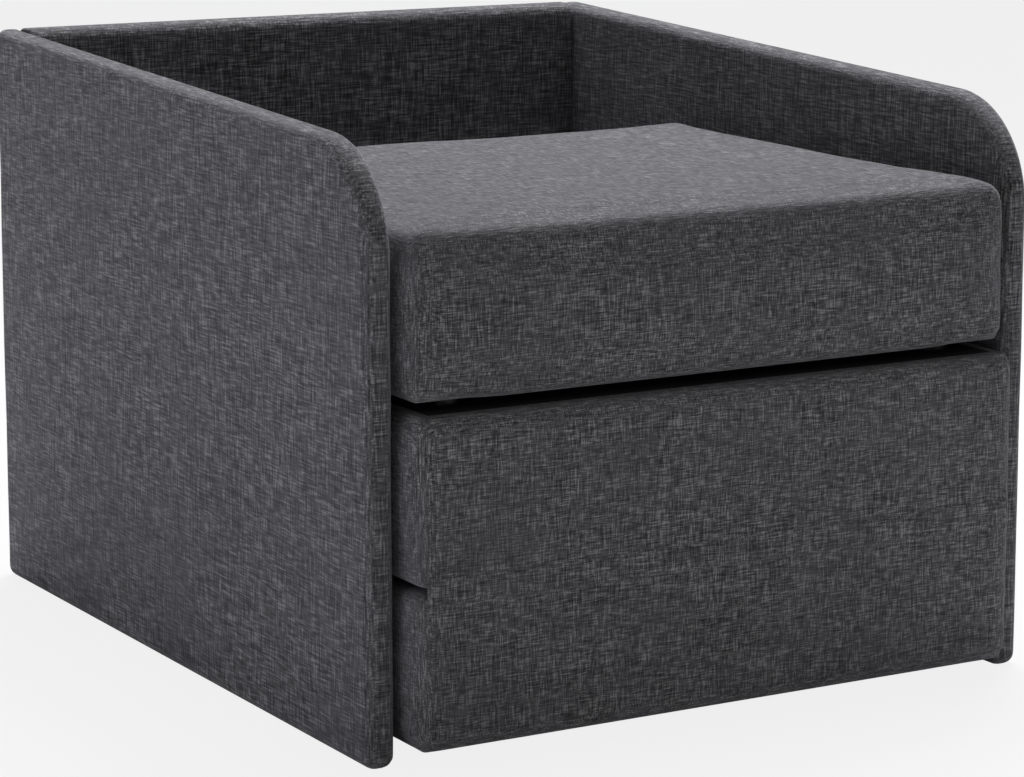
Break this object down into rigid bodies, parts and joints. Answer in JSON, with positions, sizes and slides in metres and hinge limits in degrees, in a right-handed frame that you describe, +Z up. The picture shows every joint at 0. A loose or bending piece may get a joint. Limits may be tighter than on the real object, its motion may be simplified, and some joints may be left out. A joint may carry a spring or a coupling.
{
  "type": "chair bed",
  "caption": "Low armchair with an upholstered three-sided surround and a folded mattress in sections that swings forward into a single bed.",
  "frame": {"origin": "on the floor, at the centre of the folded outline", "axes": "+X to the viewer's right when facing the front, the front faces -Y, +Z up"},
  "size_m": [0.778, 0.944, 0.64],
  "materials": {
    "charcoal_weave": "matte melange linen weave",
    "black_lining": "matte non-woven underlining",
    "soft_foam": "matte open-cell foam",
    "firm_foam": "matte dense foam",
    "timber_board": "raw fibreboard",
    "plywood": "raw plywood",
    "zinc_steel": "zinc plated",
    "hinge_steel": "zinc plated, satin",
    "screw_steel": "yellow passivated",
    "black_plastic": "moulded"
  },
  "bodies": {
    "surround": {"left_panel_board": "timber_board", "left_panel_cover": "charcoal_weave", "right_panel_board": "timber_board", "right_panel_cover": "charcoal_weave", "back_panel_board": "timber_board", "back_panel_cover": "charcoal_weave", "corner_angles": "zinc_steel", "corner_screws": "screw_steel", "base_angles": "zinc_steel", "base_angle_screws": "screw_steel", "base_cover": "charcoal_weave", "base_topper": "soft_foam", "base_core": "firm_foam", "base_board": "plywood", "base_lining": "black_lining", "base_feet": "black_plastic"},
    "middle_section": {"middle_cover": "charcoal_weave", "middle_topper": "soft_foam", "middle_core": "firm_foam", "middle_board": "plywood", "middle_lining": "black_lining", "middle_feet": "black_plastic", "middle_hinge_leaves": "hinge_steel", "middle_hinge_screws": "screw_steel", "hinge_pins": "hinge_steel"},
    "seat_section": {"seat_cover": "charcoal_weave", "seat_topper": "soft_foam", "seat_core": "firm_foam", "seat_board": "plywood", "seat_lining": "black_lining", "seat_feet": "black_plastic", "seat_hinge_leaves": "hinge_steel", "seat_hinge_screws": "screw_steel"}
  },
  "joints": [
    {"name": "front_fold", "type": "hinge", "parent": "surround", "child": "middle_section", "pos_m": [0, -0.4723, 0.17775], "axis": [1, 0, 0], "range_deg": [0, 180]},
    {"name": "rear_fold", "type": "hinge", "parent": "middle_section", "child": "seat_section", "pos_m": [0, 0.1613, 0.35075], "axis": [1, 0, 0], "range_deg": [-180, 0]}
  ],
  "couplings": [
    {"joint": "rear_fold", "follows": "front_fold", "ratio": -1}
  ]
}
